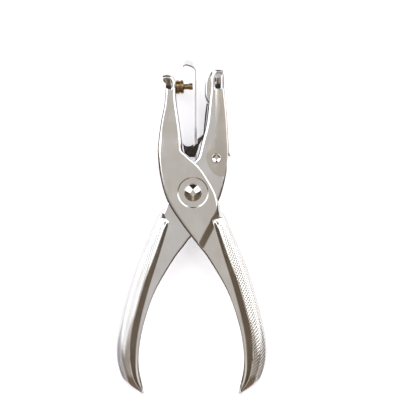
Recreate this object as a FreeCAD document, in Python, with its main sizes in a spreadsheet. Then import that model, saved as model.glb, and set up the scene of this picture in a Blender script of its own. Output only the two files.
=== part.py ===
import FreeCAD, Part
import os

from FreeCAD import Placement, Rotation, Vector

# Hand plier punch, one round hole. The tool lies flat: X across the jaws,
# Y from the handle ends to the nose, Z up along the pivot rivet. The origin is
# the centre of the flat rivet head underneath, which touches the table.

doc = FreeCAD.newDocument("punch")
sheet = doc.addObject("Spreadsheet::Sheet", "dims")

DIMS = [
    ("mid", 7.3, "height of the tool's middle plane"),
    ("gauge", 1.2, "lever sheet thickness"),
    ("cheek", 5.7, "half width over the cheeks"),
    ("plate", 7.0, "half width over the joggled pivot plates"),
    ("grip", 7.3, "half width over the drawn grips"),
    ("side_gap", 0.1, "gap between crossing cheeks"),
    ("fold", 1.6, "outside radius of a fold"),
    ("grip_round", 5.9, "radius along a grip's back"),
    ("handle_shift", 1.5, "how much further out the left handle stands"),
    ("dish_dia", 14.0, "dish round the pivot rivet"),
    ("dish_deep", 0.4, "depth of the dish"),
    ("ramp", 3.5, "length of a joggle"),
    ("nose_a", 54.2, "nose of the punch jaw"),
    ("nose_b", 56.5, "nose of the die jaw"),
    ("cheek_top", 46.7, "where the cheeks start below the nose"),
    ("skirt", 2.2, "depth of the nose cap"),
    ("pin_dia", 3.17, "punched hole"),
    ("pin_neck", 2.6, "relieved shank of the punch"),
    ("pin_out", 4.05, "punch beyond its collar"),
    ("pin_land", 1.5, "full diameter at the punch's tip"),
    ("pin_tilt", 2.5, "tilt of the punch, degrees"),
    ("pin_x", -4.05, "collar face"),
    ("pin_y", 48.15, "punch height above the pivot"),
    ("collar_dia", 6.3, "punch collar"),
    ("collar_long", 3.6, "punch collar length"),
    ("swing", 9.7, "closing angle, degrees"),
    ("die_play", 0.08, "radial play of punch in die"),
    ("rivet_dia", 5.0, "pivot rivet shank"),
    ("rivet_head", 8.1, "pivot rivet dome"),
    ("rivet_dome", 2.0, "height of the dome"),
    ("sleeve_dia", 7.0, "spacer sleeve"),
    ("strip_gauge", 0.9, "stripper sheet"),
    ("strip_wide", 8.0, "stripper width"),
    ("strip_x", 0.77, "stripper's left face"),
    ("cover_gauge", 0.6, "chip cover sheet"),
    ("cover_x", 10.5, "cover rivet across"),
    ("cover_y", 15.3, "cover rivet up"),
    ("cover_pin", 2.5, "cover rivet shank"),
    ("cover_head", 4.3, "cover rivet head"),
    ("spring_gauge", 0.8, "return spring sheet"),
    ("spring_wide", 8.4, "return spring width"),
]

row = 1
for alias, value, note in DIMS:
    sheet.set("A%d" % row, note)
    sheet.set("B%d" % row, repr(value))
    sheet.setAlias("B%d" % row, alias)
    row += 1
doc.recompute()


def dim(name):
    return float(sheet.get(name))


def bind(obj, prop, formula):
    """Bind a size to the sheet; words in the formula that are aliases get dims. put before them."""
    out = ""
    word = ""
    names = [d[0] for d in DIMS]
    for ch in formula + " ":
        if ch.isalnum() or ch == "_":
            word += ch
            continue
        out += ("dims." + word) if word in names else word
        out += ch
        word = ""
    obj.setExpression(prop, out.strip())


# Outlines, as points across and up from the pivot. A lever's two long edges
# are smooth curves through these.
JAW_A_WEB = [(-4.05, 17.8), (-4.95, 23.6), (-6.0, 31.4), (-7.3, 40.6), (-7.65, 46.5)]
JAW_A_LIP = [(-12.3, 46.7), (-12.9, 39.5), (-14.5, 31.5), (-15.5, 23.6), (-15.8, 17.8)]
JAW_B_WEB = [(1.5, 14.6), (1.7, 18.4), (4.0, 23.2), (5.85, 30.4), (6.9, 39.4), (7.6, 47.0)]
PLATE_OUT = [(-4.05, 17.8), (3.15, 11.0), (8.55, 2.5), (11.7, -4.7), (12.9, -8.6)]
PLATE_IN = [(-15.8, 17.8), (-14.85, 7.9), (-11.7, -3.4), (-5.85, -12.9), (0.4, -21.2)]
GRIP_BACK = [(14.6, -10.4), (24.98, -34.9), (31.4, -57.4), (33.5, -70.0), (32.3, -79.9), (28.2, -86.7), (20.3, -91.9)]
GRIP_STEP = [(11.0, -12.4), (17.0, -30.4), (21.6, -46.1), (24.9, -60.0), (25.9, -72.0), (25.2, -82.0), (22.4, -89.4)]
HANDLE_IN = [(0.4, -21.2), (7.4, -30.4), (15.3, -43.9), (20.25, -57.4), (22.8, -69.0), (23.4, -79.9), (21.9, -88.4)]
COVER_EDGE = [(6.3, 18.2), (6.1, 15.4), (7.1, 11.9), (9.6, 8.5), (14.4, 7.2)]


def mirrored(points, shift=0.0):
    return [(-x - shift, y) for x, y in points]


def inset(points, by):
    """Points moved sideways: to the left of the walking direction when by is positive."""
    curve = Part.BSplineCurve()
    curve.interpolate([Vector(x, y, 0) for x, y in points])
    moved = []
    for x, y in points:
        along = curve.tangent(curve.parameter(Vector(x, y, 0)))[0]
        moved.append((x - along.y * by, y + along.x * by))
    return moved


def body(label):
    made = doc.addObject("PartDesign::Body", label)
    made.Label = label
    bind(made, "Placement.Base.z", "mid")
    return made


def plane(owner, role):
    for feature in owner.Origin.OriginFeatures:
        if feature.Role == role:
            return feature
    raise RuntimeError(role)


def sketch_on(owner, name, role="XY_Plane", offset=None):
    made = owner.newObject("Sketcher::SketchObject", name)
    made.AttachmentSupport = (plane(owner, role), [""])
    made.MapMode = "FlatFace"
    if offset is not None:
        made.AttachmentOffset = offset
    return made


def outline(owner, name, runs, role="XY_Plane"):
    """A closed loop. Each run is a list of points: two make a line, more make a smooth curve."""
    made = sketch_on(owner, name, role)
    ids = []
    for run in runs:
        ends = [Vector(p[0], p[1], 0) for p in run]
        if len(ends) == 2:
            ids.append(made.addGeometry(Part.LineSegment(ends[0], ends[1]), False))
            continue
        curve = Part.BSplineCurve()
        curve.interpolate(ends)
        ids.append(made.addGeometry(curve, False))
    import Sketcher
    for k in range(len(ids)):
        made.addConstraint(Sketcher.Constraint("Coincident", ids[k], 2, ids[(k + 1) % len(ids)], 1))
    for k in range(len(ids)):
        made.addConstraint(Sketcher.Constraint("Block", ids[k]))
    doc.recompute()
    return made


def disc(owner, name, across, up, size, role="XY_Plane"):
    """A circle whose centre and diameter are bound to the sheet."""
    import Sketcher
    made = sketch_on(owner, name, role)
    circle = Part.Circle(Vector(1, 1, 0), Vector(0, 0, 1), 1)
    g = made.addGeometry(circle, False)
    d = made.addConstraint(Sketcher.Constraint("Diameter", g, 2.0))
    bind(made, "Constraints[%d]" % d, size)
    for kind, where in (("DistanceX", across), ("DistanceY", up)):
        c = made.addConstraint(Sketcher.Constraint(kind, -1, 1, g, 3, 1.0))
        bind(made, "Constraints[%d]" % c, where)
    doc.recompute()
    return made


def pad(owner, name, profile, length, both=True):
    made = owner.newObject("PartDesign::Pad", name)
    made.Profile = profile
    made.Midplane = both
    bind(made, "Length", length)
    owner.Tip = made
    doc.recompute()
    return made


def pocket(owner, name, profile, length, both=True):
    made = owner.newObject("PartDesign::Pocket", name)
    made.Profile = profile
    made.Midplane = both
    bind(made, "Length", length)
    owner.Tip = made
    doc.recompute()
    return made


def edges_where(shape, test):
    found = []
    for k, edge in enumerate(shape.Edges):
        points = edge.discretize(7)
        if all(test(p.x, p.y, p.z) for p in points):
            found.append("Edge%d" % (k + 1))
    if not found:
        raise RuntimeError("no edge found")
    return found


def near_curve(points, reach=0.06):
    """A test: is a point on the smooth curve through these points, seen along Z."""
    curve = Part.BSplineCurve()
    curve.interpolate([Vector(x, y, 0) for x, y in points])
    line = curve.toShape()

    def test(x, y):
        return line.distToShape(Part.Vertex(x, y, 0))[0] < reach
    return test


def fillet(owner, name, base, names, radius):
    made = owner.newObject("PartDesign::Fillet", name)
    made.Base = (base, names)
    bind(made, "Radius", radius)
    owner.Tip = made
    doc.recompute()
    return made


def cut(label, base, tools):
    """The finished piece: base with every tool taken out."""
    made = base
    for k, tool in enumerate(tools):
        step = doc.addObject("Part::Cut", "%s_cut%d" % (label, k))
        step.Base = made
        step.Tool = tool
        made = step
    doc.recompute()
    made.Label = label
    return made


def fused(label, parts):
    made = doc.addObject("Part::MultiFuse", label)
    made.Shapes = parts
    doc.recompute()
    return made


def slab(label, runs, half):
    """One outline raised the same way above and below the middle plane."""
    made = body(label)
    pad(made, label + "_pad", outline(made, label + "_line", runs), "2 * (%s)" % half)
    return made


def rounded(owner, lines, half_name, radius):
    """Round the front and rear edges that follow the given curves."""
    tests = [near_curve(points) for points in lines]
    half = owner.Tip.Shape.BoundBox.ZMax

    def chosen(x, y, z):
        return abs(abs(z) - half) < 0.01 and any(test(x, y) for test in tests)
    names = edges_where(owner.Tip.Shape, chosen)
    fillet(owner, owner.Label + "_round", owner.Tip, names, radius)


def grip_bodies(name, side, shift):
    """The handle below the pivot: cheeks, drawn grip, and the hollow inside both."""
    def place(points):
        if side > 0:
            return points
        return mirrored(points, shift)
    back = place(GRIP_BACK)
    step = place(GRIP_STEP)
    inner = place(HANDLE_IN)
    neck = place([(12.9, -8.6)])[0]
    turn = -1 if side > 0 else 1
    back_in = inset(back, turn * dim("gauge"))
    step_in = inset(step, -turn * dim("gauge"))
    cheeks = slab(name + "_cheeks", [
        [inner[0], neck],
        [neck, back[0]],
        back,
        [back[-1], inner[-1]],
        inner[::-1],
    ], "cheek")
    rounded(cheeks, [back], "cheek", "cheek - 0.3")
    drawn = slab(name + "_drawn", [
        [step[0], back[0]],
        back,
        [back[-1], step[-1]],
        step[::-1],
    ], "grip")
    rounded(drawn, [back], "grip", "grip_round")
    out = 14.0 * side
    floor = slab(name + "_floor", [
        [(inner[0][0] - out, inner[0][1] - 2), (neck[0] - 0.35 * side, neck[1] + 4)],
        [(neck[0] - 0.35 * side, neck[1] + 4), back_in[0]],
        back_in,
        [back_in[-1], (inner[-1][0] - out, inner[-1][1])],
        [(inner[-1][0] - out, inner[-1][1]), (inner[0][0] - out, inner[0][1] - 2)],
    ], "cheek - gauge")
    top_back = (back_in[0][0] + 0.35 * side, back_in[0][1] - 0.9)
    top_step = (step_in[0][0] + 0.2 * side, step_in[0][1] - 0.9)
    room_back = [top_back] + back_in[1:-1]
    room_step = [top_step] + step_in[1:-1]
    room = slab(name + "_room", [
        [top_step, top_back],
        room_back,
        [room_back[-1], room_step[-1]],
        room_step[::-1],
    ], "grip - gauge")
    rounded(room, [room_back], "room", "grip_round - gauge")
    return [cheeks, drawn], [floor, room]


# Punch lever: jaw on the left, grip on the right, plates joggled outwards.
a_solid, a_hollow = grip_bodies("punch_grip", 1, 0.0)
nose_a = [JAW_A_WEB[-1], (-7.75, 50.4), (-9.3, 53.2), (-11.4, dim("nose_a")), (-13.95, dim("nose_a") - 0.2)]
jaw_a = slab("punch_jaw", [
    JAW_A_WEB,
    nose_a,
    [nose_a[-1], (-13.5, dim("nose_a") - dim("skirt"))],
    [(-13.5, dim("nose_a") - dim("skirt")), JAW_A_LIP[0]],
    JAW_A_LIP,
    [JAW_A_LIP[-1], JAW_A_WEB[0]],
], "cheek")
rounded(jaw_a, [JAW_A_WEB, nose_a], "cheek", "fold")
ramp_top = JAW_A_WEB[0][1] + dim("ramp")
plate_a = slab("punch_plates", [
    [(-4.6, ramp_top), (-4.05, 17.8), (-1.35, 15.3)] + PLATE_OUT[1:],
    [PLATE_OUT[-1], (13.2, -9.5)],
    [(13.2, -9.5), (4.4, -26.1)],
    [(4.4, -26.1), HANDLE_IN[0]],
    PLATE_IN[:0:-1] + [(-15.65, ramp_top)],
    [(-15.65, ramp_top), (-4.6, ramp_top)],
], "plate")


def ramp_tool(label, start, end, outward):
    """What is taken off the plates along a step so that it slopes down to the cheeks."""
    made = body(label)
    across = Vector(outward[0], outward[1], 0)
    across.normalize()
    up = Vector(0, 0, 1)
    along = across.cross(up)
    turn = FreeCAD.Matrix(
        across.x, up.x, along.x, 0,
        across.y, up.y, along.y, 0,
        across.z, up.z, along.z, 0,
        0, 0, 0, 1)
    offset = Placement(Vector(start[0], start[1], 0), Rotation(turn))
    line = sketch_on(made, label + "_line", "XY_Plane", offset)
    import Sketcher
    low, high, run = dim("cheek"), dim("plate"), dim("ramp")
    for sign in (1, -1):
        corners = [(0.02, low), (-run, high), (-run, high + 1), (2, high + 1), (2, low)]
        base = line.GeometryCount
        for k in range(5):
            p, q = corners[k], corners[(k + 1) % 5]
            line.addGeometry(Part.LineSegment(Vector(p[0], sign * p[1], 0), Vector(q[0], sign * q[1], 0)), False)
        for k in range(5):
            line.addConstraint(Sketcher.Constraint("Coincident", base + k, 2, base + (k + 1) % 5, 1))
    for k in range(line.GeometryCount):
        line.addConstraint(Sketcher.Constraint("Block", k))
    doc.recompute()
    long = ((end[0] - start[0]) ** 2 + (end[1] - start[1]) ** 2) ** 0.5
    pad(made, label + "_pad", line, "%.3f" % long, False)
    return made


ramps_a = [
    ramp_tool("punch_grip_ramp", (14.14, -7.73), (3.0, -28.7), (16.6, -8.8)),
    ramp_tool("punch_jaw_ramp", (-17.0, ramp_top), (-3.0, ramp_top), (0.0, 1.0)),
]

web_in = inset(JAW_A_WEB, dim("gauge"))
nose_in = inset(nose_a, dim("gauge"))
hollow_a = slab("punch_jaw_hollow", [
    [(web_in[0][0], 10.0), web_in[0]],
    web_in,
    [web_in[-1]] + nose_in[1:],
    [nose_in[-1], (-20.0, nose_in[-1][1])],
    [(-20.0, nose_in[-1][1]), (-20.0, 10.0)],
    [(-20.0, 10.0), (web_in[0][0], 10.0)],
], "cheek - gauge")
gap_a = slab("punch_plate_gap", [
    [(-20.0, 17.8), (10.0, 17.8)],
    [(10.0, 17.8), (15.35, 2.0)],
    [(15.35, 2.0), (-1.68, -30.0)],
    [(-1.68, -30.0), (-20.0, -30.0)],
    [(-20.0, -30.0), (-20.0, 17.8)],
], "cheek + side_gap")
window_a = slab("punch_window", [
    [(-20.0, dim("cheek_top")), (-9.3, dim("cheek_top"))],
    [(-9.3, dim("cheek_top")), (-9.3, dim("nose_a") - dim("skirt"))],
    [(-9.3, dim("nose_a") - dim("skirt")), (-20.0, dim("nose_a") - dim("skirt"))],
    [(-20.0, dim("nose_a") - dim("skirt")), (-20.0, dim("cheek_top"))],
], "cheek + 1")
eye_a = body("punch_eye")
pad(eye_a, "punch_eye_pad", disc(eye_a, "punch_eye_line", "0", "0", "rivet_dia + 0.1"), "2 * plate + 2")
dishes = []
for k, up in enumerate((1, -1)):
    dish = doc.addObject("Part::Cylinder", "dish%d" % k)
    bind(dish, "Radius", "dish_dia / 2")
    dish.Height = 3.0
    bind(dish, "Placement.Base.z", "mid + plate - dish_deep" if up > 0 else "mid - plate + dish_deep - 3")
    dishes.append(dish)
tail = doc.addObject("Part::Cylinder", "punch_tail_hole")
bind(tail, "Radius", "pin_neck / 2")
tail.Height = 9.0
tail.Placement = Placement(Vector(0, 0, 0), Rotation(Vector(0, 1, 0), 90))
tail.Placement = Placement(Vector(dim("pin_x") - 9.0, dim("pin_y"), dim("mid")), Rotation(Vector(0, 0, 1), dim("pin_tilt")) * Rotation(Vector(0, 1, 0), 90))
plates_cut = cut("punch_plates_cut", plate_a, ramps_a)
shell_a = fused("punch_shell", a_solid + [jaw_a, plates_cut])
void_a = fused("punch_void", a_hollow + [hollow_a, gap_a, window_a, eye_a, tail] + dishes)
punch_lever = cut("punch_lever", shell_a, [void_a])


# Die lever: jaw on the right with its web inwards, grip on the left.
b_solid, b_hollow = grip_bodies("die_grip", -1, dim("handle_shift"))
nose_b = [JAW_B_WEB[-1], (7.6, 52.4), (8.9, 55.6), (11.0, dim("nose_b")), (13.2, dim("nose_b") - 0.2)]
cap_end = (13.95, dim("nose_b") - 1.3)
cap_low = (13.95, dim("nose_b") - dim("skirt"))
lip_b = [(12.6, dim("cheek_top")), (13.3, 35.0), (14.4, 22.0), (15.1, 14.6)]
edge_b = JAW_B_WEB + nose_b[1:]
jaw_b = slab("die_jaw", [
    edge_b,
    [nose_b[-1], cap_end],
    [cap_end, cap_low],
    [cap_low, lip_b[0]],
    lip_b,
    [lip_b[-1], JAW_B_WEB[0]],
], "cheek")
rounded(jaw_b, [edge_b], "cheek", "fold")
neck_b = mirrored([(12.9, -8.6)], dim("handle_shift"))[0]
low_b = mirrored([HANDLE_IN[0]], dim("handle_shift"))[0]
plate_b = slab("die_plates", [
    [JAW_B_WEB[0], (-3.15, 11.0), (-8.55, 2.5), (-11.7, -3.9), neck_b],
    [neck_b, low_b],
    [low_b, (5.85, -12.9), (11.7, -3.4), (14.85, 7.9), lip_b[-1]],
    [lip_b[-1], JAW_B_WEB[0]],
], "cheek")
slot_top = 22.3
edge_b_in = inset(edge_b, -dim("gauge"))[2:]
hollow_b = slab("die_jaw_hollow", [
    [(-3.0, 10.0), (-3.0, slot_top)],
    [(-3.0, slot_top), edge_b_in[0]],
    edge_b_in,
    [edge_b_in[-1], (20.0, edge_b_in[-1][1])],
    [(20.0, edge_b_in[-1][1]), (20.0, 10.0)],
    [(20.0, 10.0), (-3.0, 10.0)],
], "cheek - gauge")
gap_b = slab("die_plate_gap", [
    [(-20.0, 14.6), (20.0, 14.6)],
    [(20.0, 14.6), (20.0, -23.2)],
    [(20.0, -23.2), (low_b[0] + 14.0, low_b[1] - 2.0)],
    [(low_b[0] + 14.0, low_b[1] - 2.0), (neck_b[0] + 0.35, neck_b[1] + 4.0)],
    [(neck_b[0] + 0.35, neck_b[1] + 4.0), (-20.0, 0.0)],
    [(-20.0, 0.0), (-20.0, 14.6)],
], "cheek - gauge")
window_b = slab("die_window", [
    [(20.0, dim("cheek_top")), (8.9, dim("cheek_top"))],
    [(8.9, dim("cheek_top")), (8.9, cap_low[1])],
    [(8.9, cap_low[1]), (20.0, cap_low[1])],
    [(20.0, cap_low[1]), (20.0, dim("cheek_top"))],
], "cheek + 1")
eye_b = body("die_eye")
pad(eye_b, "die_eye_pad", disc(eye_b, "die_eye_line", "0", "0", "rivet_dia"), "2 * plate + 2")
ear_b = body("cover_pin_hole")
pad(ear_b, "cover_pin_pad", disc(ear_b, "cover_pin_line", "cover_x", "cover_y", "cover_pin"), "2 * plate + 2")


def bore(label, x, y, tilt, radius, length):
    """A round tool whose axis lies in the middle plane."""
    made = doc.addObject("Part::Cylinder", label)
    bind(made, "Radius", radius)
    made.Height = length
    turn = Rotation(Vector(0, 0, 1), tilt) * Rotation(Vector(0, 1, 0), 90)
    made.Placement = Placement(Vector(x, y, dim("mid")), turn)
    return made


def closed_point(x, y):
    """Where a point of the punch lever stands when the jaws are closed."""
    import math
    a = math.radians(dim("swing"))
    return (x * math.cos(a) + y * math.sin(a), -x * math.sin(a) + y * math.cos(a))


die_x, die_y = closed_point(dim("pin_x"), dim("pin_y"))
die_tilt = dim("pin_tilt") - dim("swing")
chip_way = bore("chip_way", die_x, die_y, die_tilt, "pin_dia / 2 + 0.5", 8.0)
shell_b = fused("die_shell", b_solid + [jaw_b, plate_b])
void_b = fused("die_void", b_hollow + [hollow_b, gap_b, window_b, eye_b, ear_b, chip_way])
die_lever = cut("die_lever", shell_b, [void_b])


def turned(label, line, role="XZ_Plane"):
    """A piece turned about the Z axis from half of its section."""
    made = body(label)
    profile = outline(made, label + "_line", line, role)
    spin = made.newObject("PartDesign::Revolution", label + "_turn")
    spin.Profile = profile
    spin.ReferenceAxis = (profile, ["V_Axis"])
    spin.Angle = 360
    made.Tip = spin
    doc.recompute()
    return made


def loop(points):
    return [[points[k], points[(k + 1) % len(points)]] for k in range(len(points))]


shank = dim("rivet_dia") / 2
head = dim("rivet_head") / 2
seat = dim("plate") - dim("dish_deep")
dome = [(head, seat), (head * 0.86, seat + dim("rivet_dome") * 0.42), (head * 0.5, seat + dim("rivet_dome") * 0.84), (0.0, seat + dim("rivet_dome"))]
pivot_rivet = turned("pivot_rivet", [
    [(0.0, -dim("mid")), (head * 0.65, -dim("mid"))],
    [(head * 0.65, -dim("mid")), (head, -seat - 0.25)],
    [(head, -seat - 0.25), (head, -seat)],
    [(head, -seat), (shank, -seat)],
    [(shank, -seat), (shank, seat)],
    [(shank, seat), (head, seat)],
    dome,
    [(0.0, seat + dim("rivet_dome")), (0.0, -dim("mid"))],
])

pivot_sleeve = body("pivot_sleeve")
pad(pivot_sleeve, "sleeve_pad", disc(pivot_sleeve, "sleeve_line", "0", "0", "sleeve_dia"), "2 * (cheek - gauge) - 0.1")
pocket(pivot_sleeve, "sleeve_bore", disc(pivot_sleeve, "sleeve_hole", "0", "0", "rivet_dia"), "30")

cover_half = dim("cheek") + dim("side_gap") + dim("cover_gauge")
pin_half = dim("cover_pin") / 2
cap_half = dim("cover_head") / 2
under = cover_half + 0.05
cover_rivet = turned("cover_rivet", [
    [(0.0, -under - 0.25), (pin_half, -under - 0.3)],
    [(pin_half, -under - 0.3), (cap_half, -under - 0.45)],
    [(cap_half, -under - 0.45), (cap_half, -under)],
    [(cap_half, -under), (pin_half, -under)],
    [(pin_half, -under), (pin_half, under)],
    [(pin_half, under), (cap_half, under)],
    [(cap_half, under), (cap_half, under + 0.4)],
    [(cap_half, under + 0.4), (cap_half - 0.35, under + 0.6)],
    [(cap_half - 0.35, under + 0.6), (0.9, under + 0.35), (0.0, under + 0.25)],
    [(0.0, under + 0.25), (0.0, -under - 0.25)],
])
bind(cover_rivet, "Placement.Base.x", "cover_x")
bind(cover_rivet, "Placement.Base.y", "cover_y")


def along_pin(made):
    """Stand a turned piece on the punch's own axis."""
    turn = Rotation(Vector(0, 0, 1), dim("pin_tilt")) * Rotation(Vector(0, 1, 0), 90)
    made.Placement = Placement(Vector(dim("pin_x"), dim("pin_y"), dim("mid")), turn)
    bind(made, "Placement.Base.x", "pin_x")
    bind(made, "Placement.Base.y", "pin_y")


land = dim("pin_dia") / 2
neck_r = dim("pin_neck") / 2
pin_end = dim("pin_out")
tail_z = -dim("collar_long") - dim("gauge")
punch_pin = turned("punch_pin", loop([
    (0.0, tail_z - 0.8),
    (1.6, tail_z - 0.8),
    (2.1, tail_z - 0.1),
    (neck_r, tail_z - 0.1),
    (neck_r, pin_end - dim("pin_land") - 0.3),
    (land, pin_end - dim("pin_land")),
    (land, pin_end),
    (0.0, pin_end - 0.35),
]))
along_pin(punch_pin)
wide = dim("collar_dia") / 2
punch_collar = turned("punch_collar", loop([
    (neck_r, -dim("collar_long")),
    (wide, -dim("collar_long")),
    (wide, -0.4),
    (wide - 0.4, 0.0),
    (neck_r, 0.0),
]))
along_pin(punch_collar)

die_body = slab("die_body", [
    [(7.2, 40.1), (5.75, 42.6), (5.42, 46.5), (5.75, 50.4), (6.6, 53.1), (8.1, 55.2)],
    [(8.1, 55.2), (7.85, 52.8), (7.9, 47.0), (7.55, 43.0), (7.2, 40.1)],
], "cheek - 0.4")
rounded(die_body, [[(7.2, 40.1), (5.75, 42.6), (5.42, 46.5), (5.75, 50.4), (6.6, 53.1), (8.1, 55.2)]], "cheek", "0.9")
die_block = cut("die_block", die_body, [bore("die_bore", die_x, die_y + 0.02, die_tilt, "pin_dia / 2 + die_play", 8.0)])

strip_mid = dim("strip_x") + dim("strip_gauge") / 2
eye_mid = dim("sleeve_dia") / 2 + 0.1 + dim("strip_gauge") / 2
strip_path = [(eye_mid, -1.5), (eye_mid, 2.0), (eye_mid - 1.0, 7.5), (strip_mid + 0.35, 12.0), (strip_mid, 16.0)]
strip_path += [(strip_mid, 24.0), (strip_mid, 32.0), (strip_mid, 40.0), (strip_mid, 48.0), (strip_mid, 54.0)]
strip_path += [(strip_mid - 0.5, 56.9), (strip_mid - 2.3, 59.2), (-3.4, 60.0), (-4.2, 59.3), (-4.4, 58.0)]
side_l = inset(strip_path, dim("strip_gauge") / 2)
side_r = inset(strip_path, -dim("strip_gauge") / 2)
strip_body = slab("strip_body", [
    [side_r[0], side_l[0]],
    side_l,
    [side_l[-1], side_r[-1]],
    side_r[::-1],
], "strip_wide / 2")
pad(strip_body, "strip_eye", disc(strip_body, "strip_eye_line", "0", "0", "sleeve_dia + 0.2 + 2 * strip_gauge"), "strip_wide")
pocket(strip_body, "strip_eye_bore", disc(strip_body, "strip_eye_hole", "0", "0", "sleeve_dia + 0.2"), "30")
strip_hole = bore("strip_hole", -3.0, dim("pin_y"), 0.0, "pin_dia / 2 + 0.45", 9.0)
trims = []
for k, up in enumerate((1, -1)):
    trim = doc.addObject("Part::Box", "strip_trim%d" % k)
    trim.Length = 12.0
    trim.Width = 32.0
    trim.Height = 4.0
    trim.Placement.Base = Vector(-6.0, -6.0, 0.0)
    bind(trim, "Placement.Base.z", "mid + 2.4" if up > 0 else "mid - 6.4")
    trims.append(trim)
stripper = cut("stripper", strip_body, [strip_hole] + trims)

cover_top = dim("cheek_top") - 0.1
cover_web = [(16.3, 19.2), (15.95, 25.9), (15.2, 37.1), (14.25, cover_top), (14.15, 53.6)]
cover_in = inset(cover_web, dim("cover_gauge"))
cover_skin = slab("cover_skin", [
    [(10.1, cover_top), (10.1, 25.0)],
    [(10.1, 25.0), COVER_EDGE[0]],
    COVER_EDGE,
    [COVER_EDGE[-1], (15.4, 14.6)],
    [(15.4, 14.6), cover_web[0]],
    cover_web,
    [cover_web[-1], (12.2, 53.6)],
    [(12.2, 53.6), (12.2, cover_top)],
    [(12.2, cover_top), (10.1, cover_top)],
], "cheek + side_gap + cover_gauge")
rounded(cover_skin, [cover_web], "cover", "1.0")
cover_room = slab("cover_room", [
    [(0.0, 0.0), (0.0, 60.0)],
    [(0.0, 60.0), (cover_in[-1][0], 60.0)],
    [(cover_in[-1][0], 60.0), cover_in[-1]],
    cover_in[::-1],
    [cover_in[0], (20.0, cover_in[0][1])],
    [(20.0, cover_in[0][1]), (20.0, 0.0)],
    [(20.0, 0.0), (0.0, 0.0)],
], "cheek + side_gap")
cover_eye = body("cover_eye")
pad(cover_eye, "cover_eye_pad", disc(cover_eye, "cover_eye_line", "cover_x", "cover_y", "cover_pin + 0.1"), "30")
tongue = []
for k, up in enumerate((1, -1)):
    trim = doc.addObject("Part::Box", "tongue_trim%d" % k)
    trim.Length = 5.0
    trim.Width = 8.0
    trim.Height = 3.0
    trim.Placement.Base = Vector(11.5, cover_top, 0.0)
    bind(trim, "Placement.Base.z", "mid + 4.6" if up > 0 else "mid - 7.6")
    tongue.append(trim)
cover_shell = cut("cover_shell", cover_skin, [cover_room, cover_eye] + tongue)
thumb = slab("cover_thumb", [
    [(15.7, 19.2), (15.9, 17.4), (16.5, 16.3)],
    [(16.5, 16.3), (17.1, 16.5)],
    [(17.1, 16.5), (16.5, 17.8), (16.3, 19.2)],
    [(16.3, 19.2), (15.7, 19.2)],
], "3.6")
chip_cover = fused("chip_cover", [cover_shell, thumb])

spring_t = dim("spring_gauge")
left_top = [(-4.6, 22.4), (-3.3, 21.1), (-1.6, 20.9), (0.2, 22.0)]
left_runs = [
    left_top,
    [left_top[-1], (0.2, 16.2)],
    [(0.2, 16.2), (-1.6, 16.2)],
    [(-1.6, 16.2), (-3.9, 18.2)],
    [(-3.9, 18.2), left_top[0]],
]
right_runs = [
    [(2.0, 24.2), (3.4, 25.2), (4.7, 26.4)],
    [(4.7, 26.4), (5.0, 30.4), (5.6, 36.5), (6.1, 40.2)],
    [(6.1, 40.2), (6.75, 40.1)],
    [(6.75, 40.1), (6.35, 36.0), (5.75, 30.9), (5.1, 27.0), (4.1, 23.9)],
    [(4.1, 23.9), (3.2, 22.4)],
    [(3.2, 22.4), (2.0, 20.6)],
    [(2.0, 20.6), (2.0, 24.2)],
]
spring_left = slab("spring_left", left_runs, "spring_wide / 2")
spring_right = slab("spring_right", right_runs, "spring_wide / 2")
spring_bridge = slab("spring_bridge", loop([(-0.4, 16.2), (-0.4, 20.4), (2.6, 22.6), (2.6, 20.8), (1.0, 16.2)]), "spring_wide / 2")
spring_way = slab("spring_way", loop([(-0.2, 10.0), (-0.2, 30.0), (2.1, 30.0), (2.1, 10.0)]), "2.8")
spring_core = slab("spring_core", loop([(-3.2, 10.0), (-3.2, 19.6), (-1.6, 19.4), (2.6, 21.9), (2.6, 10.0)]), "spring_wide / 2 - spring_gauge")
return_spring = cut("return_spring", fused("spring_whole", [spring_left, spring_right, spring_bridge]), [spring_way, spring_core])

NODES = [
    punch_lever, die_lever, pivot_rivet, pivot_sleeve, cover_rivet, punch_pin, punch_collar,
    die_block, stripper, chip_cover, return_spring,
]
NAMES = [
    "punch_lever", "die_lever", "pivot_rivet", "pivot_sleeve", "cover_rivet", "punch_pin", "punch_collar",
    "die_block", "stripper", "chip_cover", "return_spring",
]
doc.recompute()
faults = [thing.Label for thing in doc.Objects if "Invalid" in thing.State or "Error" in thing.State]
if faults:
    raise RuntimeError("not built: %s" % faults)
os.makedirs("parts", exist_ok=True)
for thing, name in zip(NODES, NAMES):
    shape = thing.Shape
    if shape.isNull() or not shape.isValid():
        raise RuntimeError(name)
    box = shape.BoundBox
    print("%-14s solids %d  volume %8.1f  x %6.2f %6.2f  y %6.2f %6.2f  z %6.2f %6.2f" % (
        name, len(shape.Solids), shape.Volume, box.XMin, box.XMax, box.YMin, box.YMax, box.ZMin, box.ZMax))
    shape.exportStep("parts/%s.step" % name)
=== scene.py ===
"""A hand plier punch in nickel-plated sheet steel, dressed around its CAD frame."""

import math

import bmesh
import bpy
from bpy.props import FloatProperty, FloatVectorProperty, PointerProperty
from mathutils import Matrix, Vector


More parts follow.
